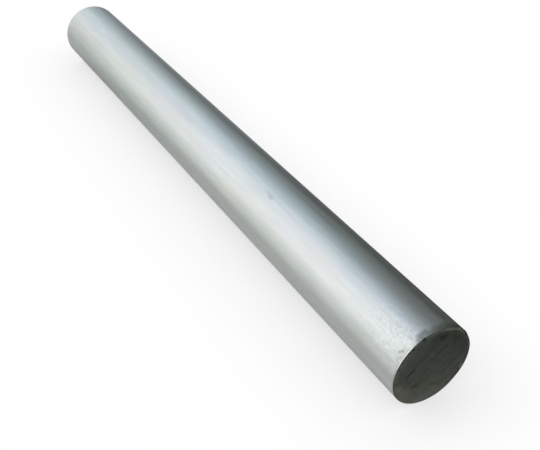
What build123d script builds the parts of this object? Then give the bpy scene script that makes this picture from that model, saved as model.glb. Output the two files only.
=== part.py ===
"""A round metal bar: drawn aluminium stock, sawn square at both ends, lying along X on the ground plane."""

import os

from build123d import *

# Driving dimensions, in millimetres
bar_diameter = 30.0
bar_length = 300.0
edge_break = 0.1  # leg of the slight 45 degree chamfer left when the sawn rims are deburred

# The bar is centred on the origin and rests with its lowest line on Z = 0
axis_height = bar_diameter / 2
rear_cut = Plane(origin=(-bar_length / 2, 0, axis_height), x_dir=(0, 1, 0), z_dir=(1, 0, 0))

with BuildPart() as bar:
    with BuildSketch(rear_cut):
        Circle(bar_diameter / 2)
    extrude(amount=bar_length)
    sawn_rims = bar.edges().filter_by(GeomType.CIRCLE)
    chamfer(sawn_rims, length=edge_break)

bar.part.label = "bar"

os.makedirs("parts", exist_ok=True)
export_step(bar.part, "parts/bar.step")
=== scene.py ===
"""Looks of the round metal bar: drawn aluminium with lengthwise die lines, and dull sawn ends darkened with
painted shade.
"""

import math

import bmesh
import bpy
import numpy as np
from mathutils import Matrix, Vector


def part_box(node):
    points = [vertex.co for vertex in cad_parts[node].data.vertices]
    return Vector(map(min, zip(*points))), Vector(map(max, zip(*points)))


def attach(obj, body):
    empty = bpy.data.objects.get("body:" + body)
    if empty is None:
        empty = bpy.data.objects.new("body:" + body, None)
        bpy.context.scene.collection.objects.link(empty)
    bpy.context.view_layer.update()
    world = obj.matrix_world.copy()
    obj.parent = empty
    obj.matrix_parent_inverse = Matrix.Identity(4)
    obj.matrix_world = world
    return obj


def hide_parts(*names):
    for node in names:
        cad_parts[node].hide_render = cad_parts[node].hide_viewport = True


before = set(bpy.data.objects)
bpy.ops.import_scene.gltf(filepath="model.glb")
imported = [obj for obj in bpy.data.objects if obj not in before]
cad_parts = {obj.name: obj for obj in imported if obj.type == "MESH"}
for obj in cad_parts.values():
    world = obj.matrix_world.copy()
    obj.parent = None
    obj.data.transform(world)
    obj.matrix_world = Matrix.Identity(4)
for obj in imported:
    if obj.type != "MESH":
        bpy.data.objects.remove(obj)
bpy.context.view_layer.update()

MM = 0.001

# Sizes from the frame, in metres. The bar lies along X, and its photographed end is at +X.
bar_low, bar_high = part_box("bar")
END_X = bar_high.x
BAR_LENGTH = bar_high.x - bar_low.x
RADIUS = (bar_high.z - bar_low.z) / 2
AXIS_Z = (bar_high.z + bar_low.z) / 2

# Angles go round the bar from its top, positive towards +Y, and are in degrees in the tables below. Places on
# the photographed face are y and z in millimetres from its middle. Places along the barrel are in millimetres
# from that face. A change of tone, red or blue is a share: -0.1 takes a tenth away.


# -------------------------------- smooth steps and noise

# How many random values the noise tables hold, and where in them zero lies
LINE_VALUES = 4096
LINE_ZERO = 1000
PATCH_VALUES = 64
PATCH_ZERO = 20

# Where patches on a face or on the unrolled barrel start, in metres
PATCHES_START = -0.1


def ease(part):
    """A number from 0 to 1 with a smooth start and end."""
    return part * part * (3 - 2 * part)


def hill(value, centre, width):
    """1 at the centre, falling smoothly to nearly 0 two widths away."""
    return np.exp(-(((value - centre) / width) ** 2))


def plateau(value, start, end, soft):
    """1 between start and end, falling smoothly to 0 over a soft stretch outside them."""
    rise = np.clip((value - start) / soft + 1, 0, 1)
    fall = np.clip((end - value) / soft + 1, 0, 1)
    return ease(rise) * ease(fall)


def lobe(angle, centre, width):
    """A hill round the bar, with its centre and width in degrees."""
    return hill(angle, math.radians(centre), math.radians(width))


def sector(angle, start, end, soft):
    """A plateau round the bar, with its start, end and soft stretch in degrees."""
    return plateau(angle, math.radians(start), math.radians(end), math.radians(soft))


def angle_gap(angle, centre):
    """How far round the bar an angle is from a centre, from -pi to pi."""
    return (angle - centre + math.pi) % (2 * math.pi) - math.pi


def smooth_noise(seed, position, cell):
    """Seeded 1-D noise from -1 to 1, smooth between values one cell apart."""
    values = np.random.RandomState(seed).uniform(-1, 1, LINE_VALUES)
    place = np.asarray(position) / cell + LINE_ZERO
    index = np.floor(place).astype(int)
    part = ease(place - index)
    return values[index % LINE_VALUES] * (1 - part) + values[(index + 1) % LINE_VALUES] * part


def lattice_noise(values, first, second):
    """2-D noise that is smooth between a table's values, one apart. It repeats beyond the table."""
    rows, columns = values.shape
    i = np.floor(first).astype(int)
    j = np.floor(second).astype(int)
    a = ease(first - i)
    b = ease(second - j)
    low = values[i % rows, j % columns] * (1 - a) + values[(i + 1) % rows, j % columns] * a
    high = values[i % rows, (j + 1) % columns] * (1 - a) + values[(i + 1) % rows, (j + 1) % columns] * a
    return low * (1 - b) + high * b


def patchy(seed, first, second, cell):
    """Seeded 2-D noise from -1 to 1, in patches of one cell, for places in metres."""
    values = np.random.RandomState(seed).uniform(-1, 1, (PATCH_VALUES, PATCH_VALUES))
    return lattice_noise(values, (first - PATCHES_START) / cell, (second - PATCHES_START) / cell)


def ring_patches(seed, x, angle, length, count):
    """Seeded noise on the barrel from -1 to 1, with no seam: patches of a length, a whole count round it."""
    values = np.random.RandomState(seed).uniform(-1, 1, (PATCH_VALUES, count))
    return lattice_noise(values, x / length + PATCH_ZERO, angle % (2 * math.pi) / (2 * math.pi) * count)


def ring_noise(seed, angle, waves):
    """Seeded noise round the bar from -1 to 1, with no seam: a few whole waves with random phases."""
    random = np.random.RandomState(seed)
    total = np.zeros_like(angle)
    for wave in waves:
        total += random.uniform(0.4, 1) * np.cos(wave * angle + random.uniform(0, 2 * math.pi))
    return total / len(waves)


# -------------------------------- relief of the drawn barrel

# The drawing waves: their depth, and how many of each kind there are round the bar
WAVE_DEPTH = 6e-6
WAVE_COUNTS = (5, 9, 14, 23, 37)

# The die lines: how many, their least and greatest half width in mm and depth in metres, and the length over
# which their strength changes
DIE_LINE_COUNT = 44
DIE_LINE_WIDTHS = (0.25, 0.9)
DIE_LINE_DEPTHS = (1.5e-6, 7e-6)
DIE_LINE_LENGTH = 45 * MM

# How far waves and lines wander round the bar, in radians, and the length over which they do
DRIFT = 0.03
DRIFT_LENGTH = 60 * MM

# Patches of the skin: seed, depth and length in metres, and how many there are round the bar
SKIN_PATCHES = (
    (14, 7e-6, 22 * MM, 30),
    (15, 3e-6, 14 * MM, 54),
)


def barrel_relief(x, angle):
    """How far the barrel's skin lies inside the full radius, in metres: drawing waves and die lines."""
    drifted = angle + DRIFT * smooth_noise(11, x, DRIFT_LENGTH)
    depth = WAVE_DEPTH * (1 + ring_noise(12, drifted, WAVE_COUNTS))
    for seed, height, length, count in SKIN_PATCHES:
        depth += height * (1 + ring_patches(seed, x, angle, length, count))
    random = np.random.RandomState(13)
    for _ in range(DIE_LINE_COUNT):
        centre = random.uniform(-math.pi, math.pi)
        width = random.uniform(*DIE_LINE_WIDTHS) * MM / RADIUS
        groove = random.uniform(*DIE_LINE_DEPTHS)
        strength = 0.6 + 0.4 * smooth_noise(random.randint(1, 10000), x, DIE_LINE_LENGTH)
        depth += groove * strength * hill(angle_gap(drifted, centre), 0, width)
    return depth


# -------------------------------- relief of the sawn ends

# The saw's marks: their direction, seen from outside the photographed end, how far they stray sideways, and
# over what length
SAW_ANGLE = math.radians(33.6)
SAW_STRAY = 0.12 * MM
SAW_STRAY_LENGTH = 9 * MM

# The saw's ridges: seed, height and spacing in metres
SAW_RIDGES = (
    (1, 10e-6, 2.6 * MM),
    (2, 2e-6, 1.0 * MM),
    (3, 1.2e-6, 0.45 * MM),
)

# The rims' broken edge: its usual width, how uneven that is and in what waves, a small step between the edge
# and the sawn face, and how far inside the corner its middle lies, as a share of the width
RIM_BREAK = 0.04 * MM
RIM_UNEVENNESS = 0.8
RIM_WAVE_COUNTS = (3, 7, 12, 19, 31, 46)
RIM_STEP = 0.03 * MM
KNEE_SHARE = 0.29

# Where wear broke the photographed rim wider: angle, half width, and extra width in mm
WORN_RIM = (
    (64, 10, 0.40),
    (134, 13, 0.18),
)

# The stretch of the photographed rim with a painted highlight: its extra width, and how much the painted
# highlight adds to its colour
BRIGHT_RIM_WIDTH = 0.10 * MM
RIM_PAINTED_HIGHLIGHT = 2.8

# The saw ran slightly out of square: how far the cut leans back from the angle where it stands furthest out
CUT_LEAN = 0.32 * MM
CUT_OUT_ANGLE = math.radians(140)

# The nick in the photographed rim: its angle, depth, half width and reach, and how much of it dents the face
NICK_ANGLE = math.radians(-20)
NICK_DEPTH = 0.20 * MM
NICK_HALF_WIDTH = 0.55 * MM
NICK_REACH = 0.3 * MM
NICK_FACE_SHARE = 0.6

# The burr at the top of the photographed rim
BURR_HEIGHT = 0.02 * MM

# The crease in the barrel behind the burr: its depth, place and half width
GROOVE_DEPTH = 0.05 * MM
GROOVE_PLACE = 0.28 * MM
GROOVE_HALF_WIDTH = 0.30 * MM

# The face's fall outside the burr
FALL_DEPTH = 0.16 * MM
FALL_WIDTH = 0.8 * MM

# The burr's strokes: start, end, half width in mm, and share of its height
BURR = (
    ((2.5, 13.7), (3.6, 13.6), 0.38, 0.40),
    ((3.7, 13.6), (4.8, 13.1), 0.46, 0.72),
    ((4.8, 13.05), (6.15, 12.65), 0.42, 0.75),
    ((6.25, 12.55), (7.25, 12.15), 0.36, 0.46),
    ((7.25, 12.15), (8.3, 11.6), 0.36, 0.50),
    ((8.3, 11.6), (9.3, 11.1), 0.38, 0.78),
    ((9.3, 11.15), (9.8, 10.5), 0.36, 0.50),
)

# Scratches on the photographed face: start, end, half width in mm, depth in mm
SCRATCHES = (
    ((-9.5, -0.05), (-7.2, 1.75), 0.48, 0.056),
    ((-4.4, 4.6), (-1.9, 5.9), 0.28, 0.028),
    ((1.8, 4.5), (5.2, 6.7), 0.55, 0.030),
    ((4.1, -5.5), (7.3, -3.5), 0.28, 0.050),
    ((7.3, -3.5), (10.0, -1.0), 0.32, 0.038),
    ((11.15, -4.3), (11.15, -5.6), 0.28, 0.055),
    ((11.6, -6.7), (11.85, -7.9), 0.28, 0.065),
    ((11.5, -8.4), (10.7, -9.2), 0.30, 0.065),
    ((10.1, -9.7), (8.9, -10.4), 0.26, 0.045),
    ((7.9, -11.2), (7.3, -11.7), 0.28, 0.045),
    ((9.9, 11.2), (10.5, 10.4), 0.26, 0.110),
    ((11.3, 9.4), (11.6, 8.9), 0.22, 0.060),
    ((12.0, 8.2), (12.3, 7.2), 0.26, 0.085),
    ((-7.35, -6.1), (-4.75, -5.4), 0.50, 0.046),
    ((10.6, -0.4), (12.0, 1.2), 0.26, 0.036),
    ((0.6, -8.4), (2.0, -8.8), 0.36, 0.045),
    ((-11.5, -2.0), (-9.4, -0.6), 0.22, 0.025),
)

# Pits in the photographed face: middle, radius in mm, depth in mm
PITS = (
    ((2.6, 10.6), 0.95, 0.042),
    ((5.2, 6.0), 0.60, 0.030),
    ((-13.2, 5.0), 0.45, 0.060),
    ((-14.0, -0.8), 0.40, 0.060),
    ((-8.5, 11.0), 0.50, 0.085),
    ((-9.6, 10.1), 0.36, 0.070),
    ((-12.1, 7.2), 0.42, 0.070),
)

# The depth in mm at which a scratch or pit counts as a full mark
FULL_MARK = 0.05


def saw_axes(y, z):
    """How far points of a sawn face lie along the saw's direction and across it."""
    along = y * math.cos(SAW_ANGLE) + z * math.sin(SAW_ANGLE)
    across = z * math.cos(SAW_ANGLE) - y * math.sin(SAW_ANGLE)
    return along, across


def saw_relief(y, z, seed):
    """How far a sawn face lies inside the end plane, in metres: straight ridges along the saw's direction."""
    along, across = saw_axes(y, z)
    place = across + SAW_STRAY * smooth_noise(seed, along, SAW_STRAY_LENGTH)
    depth = np.zeros_like(y)
    for step, height, spacing in SAW_RIDGES:
        depth += height * (1 + smooth_noise(seed + step, place, spacing))
    return depth


def bright_rim(angle):
    """Where the photographed rim is broken wider and carries a painted highlight, from 0 to 1."""
    return sector(angle, -64, -44, 7)


def rim_break(angle, photographed):
    """Width of a sawn rim's broken edge round the bar: slight and uneven, and wider where one end is worn."""
    uneven = ring_noise(31 if photographed else 32, angle, RIM_WAVE_COUNTS)
    width = RIM_BREAK * (1 + RIM_UNEVENNESS * uneven)
    if photographed:
        for centre, spread, extra in WORN_RIM:
            width = width + extra * MM * lobe(angle, centre, spread)
        width = width + BRIGHT_RIM_WIDTH * bright_rim(angle)
    return width


def cut_lean(y, z):
    """How far the photographed cut lies inside the end plane because it leans."""
    outwards = (y * math.sin(CUT_OUT_ANGLE) + z * math.cos(CUT_OUT_ANGLE)) / RADIUS
    return CUT_LEAN / 2 * (1 - outwards)


def nick_share(from_rim, angle):
    """How deep the nick is, from 0 to 1, for points on the photographed rim and near it."""
    return hill(angle_gap(angle, NICK_ANGLE) * RADIUS, 0, NICK_HALF_WIDTH) * hill(from_rim, 0, NICK_REACH)


def groove_share(from_end, angle):
    """How deep the crease behind the burr is, from 0 to 1."""
    wander = 0.10 * MM * smooth_noise(34, angle * RADIUS, 1.6 * MM)
    return sector(angle, 25, 35, 9) * hill(from_end + wander, GROOVE_PLACE, GROOVE_HALF_WIDTH)


def rolled_edge(y, z):
    """How far the photographed face falls back outside the burr."""
    outside = np.clip((np.hypot(y, z) - RADIUS + FALL_WIDTH) / FALL_WIDTH, 0, 1)
    return FALL_DEPTH * sector(np.arctan2(y, z), 4, 40, 10) * outside**1.5


def spot_share(y, z, middle, size):
    """1 in the middle of a round spot on the face, falling smoothly outwards. Middle and size are in mm."""
    return hill(np.hypot(y - middle[0] * MM, z - middle[1] * MM), 0, size * MM)


def stroke_share(y, z, start, end, width):
    """1 on a straight stroke on the face, falling smoothly to its sides. Its ends and width are in mm."""
    start = np.multiply(start, MM)
    run = np.multiply(end, MM) - start
    share = np.clip(((y - start[0]) * run[0] + (z - start[1]) * run[1]) / np.dot(run, run), 0, 1)
    gap = np.hypot(y - start[0] - share * run[0], z - start[1] - share * run[1])
    return hill(gap, 0, width * MM)


def burr_share(y, z):
    """How far the burr that the saw left inside the top of the rim stands up at each point, from 0 to 1."""
    share = np.zeros_like(y)
    for start, end, width, height in BURR:
        share = np.maximum(share, height * stroke_share(y, z, start, end, width))
    return share


def mark_share(y, z):
    """How deep the scratches and pits are at each point of the photographed face. 1 is a full mark."""
    share = np.zeros_like(y)
    for start, end, width, depth in SCRATCHES:
        share = np.maximum(share, depth / FULL_MARK * stroke_share(y, z, start, end, width))
    for middle, radius, depth in PITS:
        share = np.maximum(share, depth / FULL_MARK * spot_share(y, z, middle, radius))
    return share


# -------------------------------- colour factors that the mesh carries

# Light strokes on the photographed face: start, end, half width in mm, and change of tone
LIGHT_STROKES = (
    ((-6.0, 1.3), (-2.6, 4.0), 0.24, 0.24),
    ((6.6, -10.4), (9.8, -8.2), 0.50, 0.10),
)

# Painted shade in the nick's hollow on the photographed face: its middle, its radius, and how much narrower
# it is in y
NICK_SHADE_Y = -4.85 * MM
NICK_SHADE_Z = 13.55 * MM
NICK_SHADE_RADIUS = 0.78 * MM
NICK_SHADE_NARROWING = 1.3

# Stains on the photographed face: middle, radius in mm, and changes of tone, red and blue
STAINS = (
    ((3.3, 10.8), 2.0, -0.24, 0.00, 0.00),
    ((6.9, 10.7), 1.1, -0.12, 0.00, 0.00),
    ((2.2, 7.6), 2.4, 0.02, 0.04, 0.00),
    ((-8.5, 9.0), 2.2, 0.12, 0.04, 0.00),
    ((-12.0, 6.2), 1.6, 0.22, 0.05, 0.01),
    ((-2.8, 10.2), 2.4, 0.00, -0.05, 0.00),
    ((-0.3, 11.0), 1.9, -0.17, -0.03, 0.00),
    ((2.4, 11.6), 1.4, 0.00, -0.05, 0.00),
    ((0.2, 7.6), 1.8, -0.06, 0.00, 0.00),
    ((-6.2, 10.0), 1.2, -0.03, -0.08, 0.00),
    ((-8.6, 1.4), 2.6, 0.00, -0.09, 0.01),
    ((-9.0, -2.6), 2.4, -0.16, 0.00, 0.00),
    ((11.4, -2.2), 2.6, 0.13, 0.00, 0.00),
    ((-3.8, -12.6), 1.6, 0.13, 0.00, 0.00),
    ((5.0, 5.2), 1.7, 0.10, -0.05, 0.02),
    ((-9.8, -7.0), 2.9, 0.20, 0.04, -0.03),
    ((-6.5, -8.8), 2.2, -0.04, 0.03, -0.04),
    ((3.5, -7.5), 2.6, -0.02, 0.00, -0.05),
    ((9.0, -8.0), 2.2, -0.05, 0.00, 0.02),
    ((9.0, 9.3), 2.0, -0.03, 0.00, -0.06),
    ((-12.8, -4.2), 1.5, 0.55, 0.01, -0.02),
    ((-4.8, -13.0), 0.8, 0.15, 0.00, 0.00),
    ((3.8, -12.6), 0.8, 0.15, 0.00, 0.00),
    ((-0.6, 5.1), 0.45, 0.55, 0.00, 0.00),
    ((0.5, -12.5), 3.0, 0.15, 0.00, 0.03),
    ((12.7, -6.4), 1.1, 0.40, 0.00, 0.02),
    ((-5.8, -7.0), 1.3, -0.10, 0.00, 0.00),
    ((7.6, -3.0), 1.8, 0.06, 0.00, 0.00),
    ((11.3, -4.8), 1.4, 0.13, 0.00, 0.00),
    ((0.2, 10.6), 1.6, -0.11, 0.00, 0.00),
    ((6.6, 8.6), 1.7, -0.08, 0.00, 0.00),
)

# Bands of painted light and shade along the barrel, at fixed angles round it: angle, half width, change of
# tone, and the length in mm over which the band fades. UNFADED is so long that it hardly does.
UNFADED = 10000
LIGHT_AND_SHADE_BANDS = (
    (-84, 9, -0.15, UNFADED),
    (-108, 8, 0.06, UNFADED),
    (25, 9, -0.17, 160),
    (38, 7, 0.36, UNFADED),
    (38, 7, -0.36, 110),
    (50, 12, -0.30, 35),
    (-11, 7, 0.07, UNFADED),
    (-11, 7, -0.20, 50),
    (-27, 5, -0.04, 20),
    (-117, 8, -0.28, 8),
)

# Patches of the barrel: long ones of painted light and shade, short ones of marks near the photographed end,
# and tints where red and blue change. Angle, half width, place, half length in mm, and changes of tone, red
# and blue
BARREL_SHADE_AND_MARKS = (
    (31, 5, 75, 45, -0.22, 0.00, 0.00),
    (41, 5, 165, 60, 0.16, 0.00, 0.00),
    (16, 5, 60, 45, 0.13, 0.00, 0.00),
    (52, 8, 0, 65, -0.45, 0.00, 0.00),
    (-103, 9, 290, 100, -0.27, 0.00, 0.00),
    (-76, 18, 230, 45, 0.00, -0.045, -0.040),
    (-26, 7, 185, 45, -0.07, 0.00, 0.00),
    (-8, 14, 90, 70, 0.00, -0.060, 0.010),
    (12, 14, 85, 85, 0.00, -0.030, -0.030),
    (-38, 12, 115, 60, 0.00, 0.00, 0.030),
    (-52, 9, 26, 24, 0.00, 0.00, 0.025),
    (-4, 20, 210, 60, 0.00, -0.010, -0.035),
    (-29, 4, 0.2, 1.2, -0.25, 0.00, 0.00),
    (-25, 3, 2.3, 0.7, 0.12, 0.00, 0.00),
    (2, 6, 0.8, 0.8, 0.13, 0.00, 0.00),
    (-12, 4, 2.0, 0.5, 0.12, 0.00, 0.00),
    (17, 7, 0, 4.5, 0.00, -0.02, -0.08),
    (-47, 8, 0.6, 1.8, 0.00, 0.00, -0.07),
    (-49, 3, 2.6, 0.8, -0.08, 0.00, -0.04),
    (-116, 9, 300, 60, -0.20, -0.02, -0.02),
)


class Tint:
    """Colour factors of a surface: a tone, and how far its red and its blue depart from that."""

    def __init__(self, tone, red, blue):
        self.tone = tone
        self.red = red
        self.blue = blue

    def stain(self, share, tone=0.0, red=0.0, blue=0.0):
        """Changes the colour by these amounts where share is 1, and by less where it is lower."""
        self.tone = self.tone * (1 + tone * share)
        self.red = self.red + red * share
        self.blue = self.blue + blue * share

    def columns(self):
        """The factors of red, green and blue, as three columns."""
        return np.stack([self.tone * (1 + self.red), self.tone, self.tone * (1 + self.blue)], 1)


def sawn_tint(y, z):
    """The uneven colour of any sawn face."""
    tone = 1 + 0.07 * patchy(41, y, z, 2.4 * MM) + 0.07 * patchy(42, y, z, 1.0 * MM)
    return Tint(tone, 0.02 * patchy(46, y, z, 3.1 * MM), 0.02 * patchy(47, y, z, 2.7 * MM))


def hidden_face_tint(y, z):
    """Colour factors of the far sawn face, with streaks along the saw's direction."""
    tint = sawn_tint(y, z)
    _, across = saw_axes(y, z)
    streaks = 0.08 * smooth_noise(52, across, 0.8 * MM) + 0.05 * smooth_noise(53, across, 0.35 * MM)
    tint.stain(streaks, tone=1.0)
    return tint.columns()


def paint_light_and_shade_by_rim(tint, radius, angle):
    """Paints light and shade into the photographed face's colour in stretches along its rim: highlights on
    the right and the left, and darker stretches at the top and the far left.
    """
    top = sector(angle, 2, 50, 14)
    tint.stain(top * hill(radius, RADIUS - 2.9 * MM, 1.5 * MM), tone=-0.12)
    # A painted highlight along the rim on the right
    right = sector(angle, 47, 84, 6) * (1 - 0.6 * sector(angle, 66, 90, 12))
    tint.stain(right * hill(radius, RADIUS - 0.65 * MM, 0.5 * MM), tone=0.8)
    # A painted highlight along the rim on the left
    left = sector(angle, -95, 2, 14)
    tint.stain(left * plateau(radius, RADIUS - 0.9 * MM, RADIUS, 1.2 * MM), tone=0.32)
    top_left = sector(angle, -36, 12, 10)
    tint.stain(top_left * plateau(radius, RADIUS - 1.8 * MM, RADIUS, 1.2 * MM), red=-0.05)
    far_left = sector(angle, -115, -45, 10)
    tint.stain(far_left * hill(radius, RADIUS - 0.2 * MM, 0.35 * MM), tone=-0.22)


def painted_nick_shade(y, z):
    """Painted shade in the nick's hollow on the photographed face, from 0 to 1."""
    across = (y - NICK_SHADE_Y) * NICK_SHADE_NARROWING
    return hill(np.hypot(across, z - NICK_SHADE_Z), 0, NICK_SHADE_RADIUS)


def photographed_face_tint(y, z):
    """Colour factors of the photographed face: stains, marks, light strokes, the burr, and painted light and
    shade low down, along the rim and in the nick.
    """
    tint = sawn_tint(y, z)
    # Painted reflection of the pale floor: the face is lighter towards the bottom and the left.
    painted_floor_reflection = -7 * y - 31 * z + 2300 * z * z
    tint.stain(painted_floor_reflection, tone=1.0)
    paint_light_and_shade_by_rim(tint, np.hypot(y, z), np.arctan2(y, z))
    for middle, size, tone, red, blue in STAINS:
        tint.stain(spot_share(y, z, middle, size), tone, red, blue)
    tint.stain(np.minimum(mark_share(y, z), 1.9), tone=-0.45)
    for start, end, width, tone in LIGHT_STROKES:
        tint.stain(stroke_share(y, z, start, end, width), tone)
    burr = burr_share(y, z)
    tint.tone = tint.tone + 1.4 * burr
    tint.stain(burr, blue=0.07)
    # Painted shade in the nick's hollow
    tint.stain(painted_nick_shade(y, z), tone=-0.92)
    return tint.columns()


def face_tint(y, z, photographed):
    """Colour factors of a sawn face."""
    return photographed_face_tint(y, z) if photographed else hidden_face_tint(y, z)


def grey_smear(from_end, angle):
    """The grey smear on the barrel above the burr, from 0 to 1: wide and low, with two taller parts."""
    reach = from_end + 0.35 * MM * smooth_noise(44, angle * RADIUS, 1.5 * MM)
    wide = sector(angle, -26, 38, 4) * plateau(reach, -MM, 0.5 * MM, 2.6 * MM)
    wide = wide * (1 - 0.35 * sector(angle, 22, 90, 15))
    tall = sector(angle, -23, -12, 5) * plateau(reach, -MM, 2.1 * MM, 1.4 * MM)
    middling = sector(angle, 10, 19, 6) * plateau(reach, -MM, 1.3 * MM, 2.4 * MM)
    return np.maximum(np.maximum(wide, tall), 0.8 * middling)


def soil_and_shade_barrel_end(tint, from_end, angle):
    """Changes the barrel's colour near the photographed end: the smear, dirt, handling marks, a darker line
    along the rim on the left, and painted shade in the crease and the nick.
    """
    arc = angle * RADIUS
    mottled = 0.5 + 0.5 * patchy(43, from_end, arc, 1.1 * MM)
    smear = grey_smear(from_end, angle)
    tint.stain(smear * (0.44 + 0.10 * mottled), tone=-1.0)
    tint.stain(smear, blue=-0.035)
    soiled = sector(angle, 0, 90, 28) * math.exp(-from_end / (32 * MM))
    brown = sector(angle, 22, 90, 12) * math.exp(-from_end / (40 * MM))
    scuffed = patchy(45, from_end / 1.6, arc, 0.9 * MM)
    tint.stain(0.17 * soiled + 0.14 * brown * scuffed, tone=-1.0)
    tint.stain(brown, blue=-0.07)
    tint.stain(sector(angle, 16, 90, 12) * hill(from_end, 0, 3 * MM), blue=-0.08)
    handled = sector(angle, -60, -44, 6) * hill(from_end, 1.7 * MM, 1.2 * MM)
    tint.stain(handled * (0.6 + 0.8 * mottled), tone=-0.16)
    # Darker along the rim on the left
    tint.stain(sector(angle, -125, -44, 8) * hill(from_end, 0, 0.55 * MM), tone=-0.34)
    # Painted shade in the crease behind the burr and in the nick
    tint.stain(groove_share(from_end, angle), tone=-0.7)
    tint.stain(nick_share(from_end, angle), tone=-0.3)


def barrel_tint(from_end, angle):
    """Colour factors of the barrel's skin on one ring: painted light and shade in bands and patches, marks,
    tints, and dirt and painted shade near one end.
    """
    x = END_X - from_end
    tint = Tint(
        1 + 0.02 * ring_patches(48, x, angle, 9 * MM, 64) + 0.015 * ring_patches(49, x, angle, 30 * MM, 90),
        0.022 * ring_patches(50, x, angle, 11 * MM, 50),
        0.028 * ring_patches(51, x, angle, 13 * MM, 46),
    )
    soil_and_shade_barrel_end(tint, from_end, angle)
    # Painted light and shade in bands along the barrel
    for middle, width, tone, fade in LIGHT_AND_SHADE_BANDS:
        tint.stain(math.exp(-from_end / (fade * MM)) * lobe(angle, middle, width), tone)
    greener = sector(angle, -78, -62, 8) * (1 - math.exp(-from_end / (90 * MM)))
    tint.stain(greener, red=-0.03, blue=-0.03)
    # Painted light and shade, marks and tints in patches
    for turn, width, middle, length, tone, red, blue in BARREL_SHADE_AND_MARKS:
        share = lobe(angle, turn, width) * hill(from_end, middle * MM, length * MM)
        tint.stain(share, tone, red, blue)
    return tint.columns()


# -------------------------------- the bar's mesh

# The end faces are square grids bent to a disc. Their rims set how many points each ring has.
FACE_CELLS = 128

# The barrel's rings: the first step from either end, then how much the steps grow and how many rings there
# are near the photographed end and near the far end, and how many in between
FIRST_STEP = 0.2 * MM
NEAR_GROWTH = 0.08
NEAR_RINGS = 38
FAR_GROWTH = 0.14
FAR_RINGS = 24
MIDDLE_RINGS = 42

# Material slots of the mesh, and the angle from which an edge looks sharp
DRAWN = 0
SAWN = 1
SHARP_ANGLE = math.radians(20)


def face_grid():
    """The points of an end face, bent from a square grid to a unit disc with its rim evenly divided."""
    steps = np.linspace(-math.pi / 4, math.pi / 4, FACE_CELLS + 1)
    across, up = np.meshgrid(steps, steps, indexing="ij")
    y = math.sqrt(2) * np.sin(across) * np.cos(up)
    z = math.sqrt(2) * np.sin(up) * np.cos(across)
    return y.ravel(), z.ravel()


def face_rim():
    """The face grid's outer points, once round, counterclockwise seen from +X."""
    side = FACE_CELLS + 1
    right = [FACE_CELLS * side + j for j in range(FACE_CELLS)]
    top = [(FACE_CELLS - i) * side + FACE_CELLS for i in range(FACE_CELLS)]
    left = [FACE_CELLS - j for j in range(FACE_CELLS)]
    bottom = [i * side for i in range(FACE_CELLS)]
    return np.array(right + top + left + bottom)


def face_quads():
    """The face grid's quads, counterclockwise seen from +X."""
    side = FACE_CELLS + 1
    i, j = np.meshgrid(np.arange(FACE_CELLS), np.arange(FACE_CELLS), indexing="ij")
    corner = (i * side + j).ravel()
    return np.stack([corner, corner + side, corner + side + 1, corner + 1], 1)


DISC_Y, DISC_Z = face_grid()
RIM = face_rim()
RING_ANGLES = np.arctan2(DISC_Y[RIM], DISC_Z[RIM])


def growing_distances(growth, count):
    """Distances whose steps grow by a share each time."""
    return [FIRST_STEP * ((1 + growth) ** k - 1) / growth for k in range(1, count + 1)]


def ring_stations():
    """Distances of the barrel's rings from the photographed end: close together near both ends."""
    near = growing_distances(NEAR_GROWTH, NEAR_RINGS)
    far = growing_distances(FAR_GROWTH, FAR_RINGS)
    middle = np.linspace(near[-1], BAR_LENGTH - far[-1], MIDDLE_RINGS + 2)[1:-1]
    return near + list(middle) + [BAR_LENGTH - distance for distance in reversed(far)]


class Shell:
    """The bar's surface as it is put together: points with their tints, and quads with their materials."""

    def __init__(self):
        self.points = []
        self.tints = []
        self.quads = []
        self.materials = []
        self.count = 0

    def add_points(self, x, y, z, tint):
        """Adds points, with z counted from the bar's axis, and returns their indices."""
        self.points.append(np.stack([np.broadcast_to(x, y.shape), y, z + AXIS_Z], 1))
        self.tints.append(tint)
        self.count += len(y)
        return np.arange(self.count - len(y), self.count)

    def add_ring(self, x, radius, tint):
        """Adds one ring of points and returns their indices."""
        return self.add_points(x, np.sin(RING_ANGLES) * radius, np.cos(RING_ANGLES) * radius, tint)

    def add_quads(self, quads, material):
        """Adds quads with one material."""
        self.quads.append(quads)
        self.materials.append(np.full(len(quads), material))

    def bridge(self, ring, other, material):
        """Adds the quads from a ring to the next one towards -X."""
        quads = np.stack([ring, np.roll(ring, -1), np.roll(other, -1), other], 1)
        self.add_quads(quads[:, ::-1], material)

    def mesh(self, name):
        """The finished mesh. It carries the tints as an attribute."""
        mesh = bpy.data.meshes.new(name)
        mesh.from_pydata(np.concatenate(self.points).tolist(), [], np.concatenate(self.quads).tolist())
        mesh.polygons.foreach_set("material_index", np.concatenate(self.materials))
        mesh.polygons.foreach_set("use_smooth", np.ones(len(mesh.polygons), bool))
        tint = mesh.attributes.new("tint", "FLOAT_VECTOR", "POINT")
        tint.data.foreach_set("vector", np.concatenate(self.tints).ravel())
        mesh.validate()
        mesh.set_sharp_from_angle(angle=SHARP_ANGLE)
        mesh.update()
        return mesh


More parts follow.
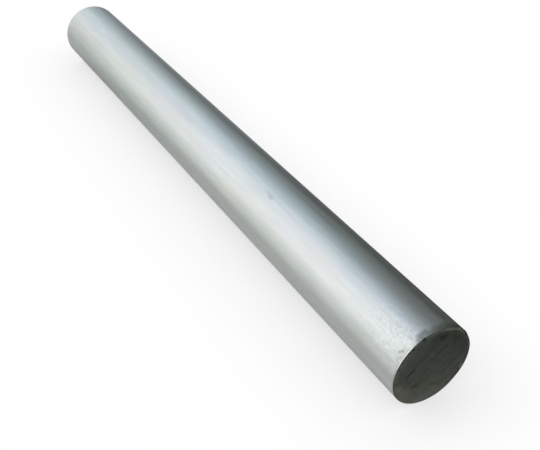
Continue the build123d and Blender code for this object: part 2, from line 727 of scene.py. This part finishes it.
def add_face(shell, photographed):
    """Adds a sawn face and returns the indices of its outer points."""
    share = np.hypot(DISC_Y, DISC_Z)
    turn = np.arctan2(DISC_Y, DISC_Z)
    nick = NICK_DEPTH * nick_share((1 - share) * RADIUS, turn) if photographed else 0
    # The broken edge and the nick narrow the face, and its middle stays evenly spaced
    scale = RADIUS - rim_break(turn, photographed) * share**8 - nick
    y = DISC_Y * scale
    z = DISC_Z * scale
    depth = saw_relief(y, z, 21 if photographed else 25)
    quads = face_quads() + shell.count
    if photographed:
        depth = depth + cut_lean(y, z) + rolled_edge(y, z) - BURR_HEIGHT * burr_share(y, z)
        depth = depth + FULL_MARK * MM * mark_share(y, z) + NICK_FACE_SHARE * nick
        x = END_X - depth
    else:
        quads = quads[:, ::-1]
        x = depth - END_X
    shell.add_quads(quads, SAWN)
    return shell.add_points(x, y, z, face_tint(y, z, photographed))[RIM]


def rim_inset():
    """How far inside the end plane the photographed face's outer edge lies, round the bar."""
    y = np.sin(RING_ANGLES) * RADIUS
    z = np.cos(RING_ANGLES) * RADIUS
    return cut_lean(y, z) + rolled_edge(y, z) + NICK_FACE_SHARE * NICK_DEPTH * nick_share(0, RING_ANGLES)


def break_tint(photographed):
    """Colour factors of a broken edge: its face's, with painted shade at the top and a painted highlight
    along one stretch.
    """
    # Painted shade at the top of the rim, and a painted highlight along one stretch of the photographed rim
    shade = 1 - 0.35 * sector(RING_ANGLES, -30, 40, 12)
    if photographed:
        shade = shade + RIM_PAINTED_HIGHLIGHT * bright_rim(RING_ANGLES)
    rim_tint = face_tint(np.sin(RING_ANGLES) * RADIUS, np.cos(RING_ANGLES) * RADIUS, photographed)
    return rim_tint * shade[:, None]


def add_break(shell, photographed):
    """Adds the middle and the barrel's side of a broken edge, and returns the two rings."""
    side = 1 if photographed else -1
    inset = rim_inset() if photographed else 0
    radius = RADIUS - barrel_relief(side * END_X, RING_ANGLES)
    if photographed:
        radius = radius - NICK_DEPTH * nick_share(0, RING_ANGLES)
    width = rim_break(RING_ANGLES, photographed)
    bulge = KNEE_SHARE * width
    tint = break_tint(photographed)
    knee = shell.add_ring(side * (END_X - inset - bulge - RIM_STEP), radius - bulge, tint)
    outer = shell.add_ring(side * (END_X - inset - width - RIM_STEP), radius, tint)
    return [knee, outer]


def add_barrel_ring(shell, from_end):
    """Adds one ring of the barrel. Near the photographed end it follows the rim's shape."""
    shift = (rim_break(RING_ANGLES, True) + rim_inset() + RIM_STEP) * math.exp(-from_end / (1.2 * MM))
    depth = barrel_relief(END_X - from_end, RING_ANGLES)
    depth = depth + NICK_DEPTH * nick_share(from_end, RING_ANGLES)
    depth = depth + GROOVE_DEPTH * groove_share(from_end, RING_ANGLES)
    return shell.add_ring(END_X - from_end - shift, RADIUS - depth, barrel_tint(from_end, RING_ANGLES))


def bar_mesh():
    """One closed mesh: two sawn faces, their broken edges, and the barrel between them."""
    shell = Shell()
    near = [add_face(shell, True)] + add_break(shell, True)
    barrel = [add_barrel_ring(shell, distance) for distance in ring_stations()]
    far = add_break(shell, False)[::-1] + [add_face(shell, False)]
    skin = [near[-1]] + barrel + [far[0]]
    for rings, material in ((near, SAWN), (skin, DRAWN), (far, SAWN)):
        for ring, other in zip(rings, rings[1:]):
            shell.bridge(ring, other, material)
    return shell.mesh("round_bar")


# -------------------------------- node helpers


def add_node(tree, kind, inputs=None, **settings):
    """Adds a node. An input given as another node's socket is linked, and any other value is set."""
    node = tree.nodes.new(kind)
    for name, value in settings.items():
        setattr(node, name, value)
    for name, value in (inputs or {}).items():
        if isinstance(value, bpy.types.NodeSocket):
            tree.links.new(value, node.inputs[name])
        else:
            node.inputs[name].default_value = value
    return node


def new_material(name):
    """An empty node material and its node tree."""
    material = bpy.data.materials.new(name)
    material.use_nodes = True
    material.node_tree.nodes.clear()
    return material, material.node_tree


def set_surface(tree, shader):
    """Makes a shader the surface of its material."""
    add_node(tree, "ShaderNodeOutputMaterial", {"Surface": shader})


def maths(tree, operation, *values):
    """One Math node's result, from numbers and sockets."""
    return add_node(tree, "ShaderNodeMath", dict(enumerate(values)), operation=operation).outputs[0]


def sum_of_squares(tree, first, second):
    """The sum of two numbers' squares."""
    return maths(tree, "ADD", maths(tree, "POWER", first, 2.0), maths(tree, "POWER", second, 2.0))


def vectors(tree, operation, *values):
    """One Vector Math node's outputs, from vectors and sockets."""
    return add_node(tree, "ShaderNodeVectorMath", dict(enumerate(values)), operation=operation).outputs


def own_place(tree):
    """A point's place in its object's own coordinates, which are the frame's."""
    return add_node(tree, "ShaderNodeTexCoord").outputs["Object"]


def own_axes(tree):
    """A point's X, Y and Z in its object's own coordinates."""
    return add_node(tree, "ShaderNodeSeparateXYZ", {0: own_place(tree)}).outputs


def noise(tree, place, stretch, scale, detail=2.0, distortion=0.0):
    """Noise at a place, squeezed by a vector, as a number from 0 to 1."""
    squeezed = vectors(tree, "MULTIPLY", place, stretch)[0]
    settings = {"Vector": squeezed, "Scale": scale, "Detail": detail, "Distortion": distortion}
    return add_node(tree, "ShaderNodeTexNoise", settings).outputs["Fac"]


def remap(tree, value, low, high):
    """A 0 to 1 number moved to the range from low to high."""
    inputs = {"Value": value, "To Min": low, "To Max": high}
    return add_node(tree, "ShaderNodeMapRange", inputs).outputs["Result"]


def smooth_step(tree, value, start, end):
    """0 below start, 1 above end, and a smooth rise between them. With end below start, it falls."""
    inputs = {"Value": value, "From Min": start, "From Max": end}
    return add_node(tree, "ShaderNodeMapRange", inputs, interpolation_type="SMOOTHSTEP").outputs["Result"]


def ramp_colour(tree, value, stops):
    """The colour of a ramp at a value from 0 to 1. Each stop is a position and a colour."""
    ramp = add_node(tree, "ShaderNodeValToRGB", {"Fac": value})
    elements = ramp.color_ramp.elements
    while len(elements) < len(stops):
        elements.new(0.5)
    for element, (position, colour) in zip(elements, stops):
        element.position = position
        element.color = (*colour, 1)
    return ramp.outputs["Color"]


def toned(tree, colour, tones):
    """A colour times each of the tones."""
    for tone in tones:
        colour = add_node(tree, "ShaderNodeVectorMath", {0: colour, 3: tone}, operation="SCALE").outputs[0]
    return colour


def painted(tree, colour):
    """A colour times the tint that the mesh carries."""
    tint = add_node(tree, "ShaderNodeAttribute", attribute_name="tint").outputs["Vector"]
    return vectors(tree, "MULTIPLY", colour, tint)[0]


def mix_shaders(tree, share, first, second):
    """The first shader where share is 0, and the second where it is 1."""
    return add_node(tree, "ShaderNodeMixShader", {0: share, 1: first, 2: second}).outputs[0]


def clear_shader(tree):
    """A shader that nothing shows."""
    return add_node(tree, "ShaderNodeBsdfTransparent").outputs[0]


# -------------------------------- the bar's materials

# The drawn skin's darkest and lightest colours, and the sawn ends' brownest and greenest, dull and darkened
# with painted shade
DARK_SKIN = (0.432, 0.452, 0.441)
LIGHT_SKIN = (0.506, 0.529, 0.516)
BROWN_SHADED_CUT = (0.0762, 0.0764, 0.0665)
GREEN_SHADED_CUT = (0.0683, 0.0787, 0.0661)

# Small marks on the barrel: place, angle, half length and half width in mm, and tone factor
BARREL_SPOTS = (
    (88, -25.6, 2.0, 1.15, 0.87),
    (87.7, -26.2, 0.9, 0.5, 0.90),
    (90.5, -23.0, 1.8, 0.4, 0.90),
    (29.7, -46.6, 1.3, 0.45, 0.94),
    (15.8, -38.9, 0.8, 0.5, 0.86),
    (17.4, -46.9, 0.6, 0.4, 1.08),
    (3.0, -50.4, 0.50, 0.46, 0.68),
    (2.2, -46.8, 0.44, 0.52, 0.72),
    (1.7, -54.0, 0.55, 0.40, 0.86),
    (5.2, -41.0, 0.9, 0.22, 1.12),
    (5.2, -24.0, 0.8, 0.45, 0.87),
    (7.4, -37.5, 0.8, 0.35, 0.93),
    (11.5, -31.0, 1.0, 0.35, 0.94),
)


def barrel_place(tree):
    """Where a point of the barrel is: metres from the photographed end, and metres round from the top."""
    axes = own_axes(tree)
    from_end = maths(tree, "SUBTRACT", END_X, axes["X"])
    angle = maths(tree, "ARCTAN2", axes["Y"], maths(tree, "SUBTRACT", axes["Z"], AXIS_Z))
    return from_end, maths(tree, "MULTIPLY", angle, RADIUS)


def barrel_spot(tree, from_end, round_top, spot):
    """The tone factor of one of the barrel's small marks: a soft oval."""
    middle, turn, half_length, half_width, tone = spot
    along = maths(tree, "SUBTRACT", from_end, middle * MM)
    along = maths(tree, "DIVIDE", along, half_length * MM)
    across = maths(tree, "SUBTRACT", round_top, math.radians(turn) * RADIUS)
    across = maths(tree, "DIVIDE", across, half_width * MM)
    inside = smooth_step(tree, sum_of_squares(tree, along, across), 1.6, 0.1)
    return remap(tree, inside, 1.0, tone)


def speckled_patch(tree, from_end, round_top, clouds):
    """Where the skin is speckled: on the upper left of the photographed end, in clouds."""
    near = smooth_step(tree, from_end, 32 * MM, 0.0)
    off_centre = maths(tree, "ABSOLUTE", maths(tree, "ADD", round_top, 11 * MM))
    on_top = smooth_step(tree, off_centre, 11 * MM, 4 * MM)
    return maths(tree, "MULTIPLY", maths(tree, "MULTIPLY", near, on_top), remap(tree, clouds, 0.2, 1.4))


def drawn_aluminium():
    """Satin drawn skin: fine die lines along X that change its tone, gloss and relief, and a few marks."""
    material, tree = new_material("drawn_aluminium")
    from_end, round_top = barrel_place(tree)
    place = own_place(tree)
    lines = noise(tree, place, (0.02, 1, 1), 2600, 3.0)
    bands = noise(tree, place, (0.03, 1, 1), 520, 2.0, 0.6)
    clouds = noise(tree, place, (0.35, 1, 1), 160, 3.0)
    smears = noise(tree, place, (0.12, 1, 1), 700, 2.0, 0.8)
    grain = noise(tree, place, (0.7, 1, 1), 1050)
    streaks = maths(tree, "ADD", maths(tree, "MULTIPLY", lines, 0.5), maths(tree, "MULTIPLY", bands, 0.5))
    colour = ramp_colour(tree, streaks, ((0.3, DARK_SKIN), (0.7, LIGHT_SKIN)))
    patch = speckled_patch(tree, from_end, round_top, clouds)
    strength = maths(tree, "MULTIPLY", patch, 0.8)
    speckle = maths(tree, "MULTIPLY", maths(tree, "SUBTRACT", grain, 0.5), strength)
    tones = [maths(tree, "ADD", speckle, 1.0)]
    tones += [remap(tree, clouds, 0.97, 1.03), remap(tree, smears, 0.95, 1.05)]
    tones += [barrel_spot(tree, from_end, round_top, spot) for spot in BARREL_SPOTS]
    height = maths(tree, "ADD", lines, maths(tree, "MULTIPLY", grain, maths(tree, "MULTIPLY", patch, 0.5)))
    inputs = {
        "Base Color": toned(tree, painted(tree, colour), tones),
        "Metallic": 1.0,
        "Roughness": remap(tree, bands, 0.32, 0.40),
        "Specular Tint": (0.68, 0.685, 0.68, 1),
        "Anisotropic": 0.6,
        "Tangent": add_node(tree, "ShaderNodeTangent", direction_type="RADIAL", axis="X").outputs[0],
        "Normal": add_node(tree, "ShaderNodeBump", {"Height": height, "Distance": 4e-6}).outputs[0],
    }
    set_surface(tree, add_node(tree, "ShaderNodeBsdfPrincipled", inputs).outputs[0])
    return material


def sawn_end():
    """Dull sawn face, darkened with painted shade, with fine scratches along the saw's direction and faint
    green and brown stains.
    """
    material, tree = new_material("sawn_end")
    place = own_place(tree)
    turning = {"Vector": place, "Angle": -SAW_ANGLE}
    along_saw = add_node(tree, "ShaderNodeVectorRotate", turning, rotation_type="X_AXIS").outputs[0]
    marks = noise(tree, along_saw, (1, 0.08, 1), 1300, 3.0)
    stains = noise(tree, place, (1, 1, 1), 300, 3.0)
    grain = noise(tree, place, (1, 1, 1), 2200)
    colour = ramp_colour(tree, stains, ((0.3, BROWN_SHADED_CUT), (0.7, GREEN_SHADED_CUT)))
    tones = [remap(tree, marks, 0.96, 1.04), remap(tree, grain, 0.88, 1.12)]
    inputs = {
        "Base Color": toned(tree, painted(tree, colour), tones),
        "Metallic": 1.0,
        "Specular Tint": (0.2, 0.2, 0.2, 1),
        "Roughness": 0.55,
        "Normal": add_node(tree, "ShaderNodeBump", {"Height": marks, "Distance": 5e-6}).outputs[0],
    }
    set_surface(tree, add_node(tree, "ShaderNodeBsdfPrincipled", inputs).outputs[0])
    return material


def make_bar():
    """The bar, which stands for the CAD solid."""
    bar = bpy.data.objects.new("round_bar", bar_mesh())
    bpy.context.scene.collection.objects.link(bar)
    bar.data.materials.append(drawn_aluminium())
    bar.data.materials.append(sawn_end())
    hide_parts("bar")
    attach(bar, "root")


# -------------------------------- floor and surroundings

# How far the floor beside the bar is blended towards white, where the camera sees it
SHADOW_PALENESS = 0.55

# Half the floor's width, in metres
FLOOR_HALF_WIDTH = 40.0

# How strongly the world lights diffuse surfaces. Where it is seen, it is plain white, of strength 1.
WORLD_LIGHT = 0.94


def seen_directly(tree):
    """1 for the rays that see a background: camera, glossy and transmission rays. 0 for the others."""
    path = add_node(tree, "ShaderNodeLightPath").outputs
    mirrored = maths(tree, "MAXIMUM", path["Is Glossy Ray"], path["Is Transmission Ray"])
    return maths(tree, "MAXIMUM", path["Is Camera Ray"], mirrored)


def distance_from_bar(tree):
    """How far a floor point is from the bar's outline on the floor, in metres."""
    axes = own_axes(tree)
    beyond_end = maths(tree, "SUBTRACT", maths(tree, "ABSOLUTE", axes["X"]), END_X)
    beyond_side = maths(tree, "SUBTRACT", maths(tree, "ABSOLUTE", axes["Y"]), RADIUS)
    outside = [maths(tree, "MAXIMUM", beyond, 0.0) for beyond in (beyond_end, beyond_side)]
    return maths(tree, "SQRT", sum_of_squares(tree, *outside))


def floor_material():
    """Matt white floor. It keeps the bar's shadow close by, and turns to plain white further out."""
    material, tree = new_material("floor_white")
    matt = add_node(tree, "ShaderNodeBsdfDiffuse", {"Color": (0.95, 0.95, 0.95, 1)}).outputs[0]
    white = add_node(tree, "ShaderNodeEmission", {"Color": (1, 1, 1, 1), "Strength": 1.0}).outputs[0]
    away = smooth_step(tree, distance_from_bar(tree), 4 * MM, 50 * MM)
    camera_ray = add_node(tree, "ShaderNodeLightPath").outputs["Is Camera Ray"]
    to_camera = maths(tree, "MULTIPLY", remap(tree, away, SHADOW_PALENESS, 1.0), camera_ray)
    share = maths(tree, "MAXIMUM", to_camera, maths(tree, "MULTIPLY", away, seen_directly(tree)))
    set_surface(tree, mix_shaders(tree, share, matt, white))
    return material


def make_floor():
    """A wide floor under the bar."""
    mesh = bpy.data.meshes.new("floor")
    half = FLOOR_HALF_WIDTH
    corners = [(-half, -half, 0), (half, -half, 0), (half, half, 0), (-half, half, 0)]
    mesh.from_pydata(corners, [], [(0, 1, 2, 3)])
    mesh.materials.append(floor_material())
    floor = bpy.data.objects.new("floor", mesh)
    bpy.context.scene.collection.objects.link(floor)


def make_world():
    """Soft white surroundings: dimmer as a light than as a background."""
    world = bpy.data.worlds.new("studio")
    bpy.context.scene.world = world
    world.use_nodes = True
    tree = world.node_tree
    tree.nodes.clear()
    strength = remap(tree, seen_directly(tree), WORLD_LIGHT, 1.0)
    background = add_node(tree, "ShaderNodeBackground", {"Color": (1, 1, 1, 1), "Strength": strength})
    add_node(tree, "ShaderNodeOutputWorld", {"Surface": background.outputs[0]})


# -------------------------------- light

# The key light: its brightness, half its width as seen from the bar, how far it is turned round the bar from
# straight up, to the left of the photograph, and its slant to the bar's far end
KEY_RADIANCE = 0.72
KEY_HALF_ANGLE = math.radians(32)
KEY_ROLL = math.radians(-58)
KEY_SLANT = math.radians(60)


def make_key():
    """A broad soft light, low on the side to the left of the photograph."""
    light = bpy.data.lights.new("key", "SUN")
    light.energy = KEY_RADIANCE * math.pi * math.sin(KEY_HALF_ANGLE) ** 2
    light.angle = 2 * KEY_HALF_ANGLE
    across = math.sin(KEY_SLANT)
    direction = Vector((-math.cos(KEY_SLANT), across * math.sin(KEY_ROLL), across * math.cos(KEY_ROLL)))
    key = bpy.data.objects.new("key", light)
    key.rotation_mode = "QUATERNION"
    key.rotation_quaternion = direction.to_track_quat("Z", "Y")
    bpy.context.scene.collection.objects.link(key)


# -------------------------------- the photograph's view

# The camera looks this far round from +Y towards -X, and this far down
VIEW_AZIMUTH = math.radians(59.8)
VIEW_ELEVATION = math.radians(36.28)

# The focal length, and the width of the sensor that it goes with
LENS_MM = 53.2
SENSOR_MM = 36

# The camera's place from the middle of the photographed face, in bar diameters
CAMERA_PLACE = Vector((4.134558, -4.339941, 6.028859))


def heading():
    """The camera's level direction, and the level direction to its left."""
    forward = Vector((-math.sin(VIEW_AZIMUTH), math.cos(VIEW_AZIMUTH), 0))
    left = Vector((-forward.y, forward.x, 0))
    return forward, left


def make_camera():
    """The camera, which stands where the photograph was taken from."""
    camera_data = bpy.data.cameras.new("camera")
    camera_data.lens = LENS_MM
    camera_data.sensor_width = SENSOR_MM
    camera_data.clip_start = 0.01
    camera_data.clip_end = 200
    camera = bpy.data.objects.new("camera", camera_data)
    camera.location = Vector((END_X, 0, AXIS_Z)) + 2 * RADIUS * CAMERA_PLACE
    level, _ = heading()
    forward = level * math.cos(VIEW_ELEVATION) - Vector((0, 0, math.sin(VIEW_ELEVATION)))
    camera.rotation_mode = "QUATERNION"
    camera.rotation_quaternion = forward.to_track_quat("-Z", "Y")
    bpy.context.scene.collection.objects.link(camera)
    bpy.context.scene.camera = camera


# -------------------------------- panels that the bar mirrors

# How far away the panels reach, in metres
PANEL_REACH = 8.0

# The overhead panel's brightness: at its brightest, and how much of that is left low down on the right
PANEL_BRIGHTEST = 1.8
PANEL_LOW_SHARE = 0.28

# The overhead panel's colours: how far left of the middle a direction lies, from -1 to 1, and its colour
PANEL_STOPS = (
    (-0.30, (0.17, 0.19, 0.19)),
    (-0.10, (0.35, 0.37, 0.39)),
    (0.05, (0.59, 0.65, 0.71)),
    (0.13, (0.72, 0.81, 0.89)),
    (0.20, (0.87, 0.98, 1.09)),
    (0.35, (1.18, 1.32, 1.47)),
    (0.50, (1.45, 1.49, 1.63)),
    (0.70, (1.76, 1.73, 1.78)),
)


def panel_colour(tree, side):
    """The overhead panel's colour, as a share of its brightest, by how far left a direction lies."""
    low = PANEL_STOPS[0][0]
    high = PANEL_STOPS[-1][0]
    inputs = {"Value": side, "From Min": low, "From Max": high}
    share = add_node(tree, "ShaderNodeMapRange", inputs).outputs["Result"]
    stops = [
        ((value - low) / (high - low), [part / PANEL_BRIGHTEST for part in colour])
        for value, colour in PANEL_STOPS
    ]
    return ramp_colour(tree, share, stops)


def panel_material():
    """The overhead panel: pale at its left edge, pale blue in the middle, nearly black on the right."""
    material, tree = new_material("panel_gradient")
    _, left = heading()
    aim = vectors(tree, "NORMALIZE", own_place(tree))[0]
    side = vectors(tree, "DOT_PRODUCT", aim, left)["Value"]
    behind = vectors(tree, "DOT_PRODUCT", aim, (-1, 0, 0))["Value"]
    height = add_node(tree, "ShaderNodeSeparateXYZ", {0: aim}).outputs["Z"]
    rising = smooth_step(tree, height, 0.0, 0.45)
    low_down = remap(tree, rising, PANEL_LOW_SHARE * PANEL_BRIGHTEST, PANEL_BRIGHTEST)
    right = smooth_step(tree, side, 0.1, -0.1)
    strengths = {"Factor": right, "A": PANEL_BRIGHTEST, "B": low_down}
    strength = add_node(tree, "ShaderNodeMix", strengths).outputs["Result"]
    light = {"Color": panel_colour(tree, side), "Strength": strength}
    emission = add_node(tree, "ShaderNodeEmission", light).outputs[0]
    # The panel ends on the far left and towards the front
    inside = smooth_step(tree, side, 0.75, 0.6)
    shown = maths(tree, "MULTIPLY", inside, smooth_step(tree, behind, 0.17, 0.4))
    set_surface(tree, mix_shaders(tree, shown, clear_shader(tree), emission))
    return material


def shade_card_material():
    """The card's grey, painted shade on the floor for reflections: dark beside the photographed end, lighter
    further back, and clear in front.
    """
    material, tree = new_material("shade_card_grey")
    from_end = maths(tree, "SUBTRACT", END_X, own_axes(tree)["X"])
    strength = remap(tree, smooth_step(tree, from_end, 20 * MM, 400 * MM), 0.05, 0.38)
    light = {"Color": (0.92, 1.0, 0.97, 1), "Strength": strength}
    emission = add_node(tree, "ShaderNodeEmission", light).outputs[0]
    shown = smooth_step(tree, from_end, -20 * MM, 30 * MM)
    set_surface(tree, mix_shaders(tree, shown, clear_shader(tree), emission))
    return material


def add_reflected(name, mesh):
    """Adds a stage object that shows in glossy surfaces alone. It lights nothing and casts no shadow."""
    panel = bpy.data.objects.new(name, mesh)
    bpy.context.scene.collection.objects.link(panel)
    panel.visible_camera = False
    panel.visible_diffuse = False
    panel.visible_transmission = False
    panel.visible_volume_scatter = False
    panel.visible_shadow = False


def make_panel():
    """A wide arched panel over the bar, far enough away to look the same from all along it."""
    mesh = bpy.data.meshes.new("panel")
    shape = bmesh.new()
    bmesh.ops.create_uvsphere(shape, u_segments=96, v_segments=48, radius=PANEL_REACH)
    whole = shape.verts[:] + shape.edges[:] + shape.faces[:]
    bmesh.ops.bisect_plane(shape, geom=whole, plane_co=(0, 0, 0), plane_no=(0, 0, -1), clear_outer=True)
    shape.to_mesh(mesh)
    shape.free()
    mesh.materials.append(panel_material())
    add_reflected("panel", mesh)


def make_shade_card():
    """A grey card on the floor along the right of the bar: painted shade there, which the bar mirrors."""
    mesh = bpy.data.meshes.new("shade_card")
    lift = 0.5 * MM
    near, far = RADIUS + 3 * MM, PANEL_REACH
    back, front = -PANEL_REACH, END_X + 20 * MM
    corners = [(back, near, lift), (front, near, lift), (front, far, lift), (back, far, lift)]
    mesh.from_pydata(corners, [], [(0, 1, 2, 3)])
    mesh.materials.append(shade_card_material())
    add_reflected("shade_card", mesh)


make_bar()
make_floor()
make_world()
make_key()
make_panel()
make_shade_card()
make_camera()
bpy.context.scene.view_settings.view_transform = "Standard"
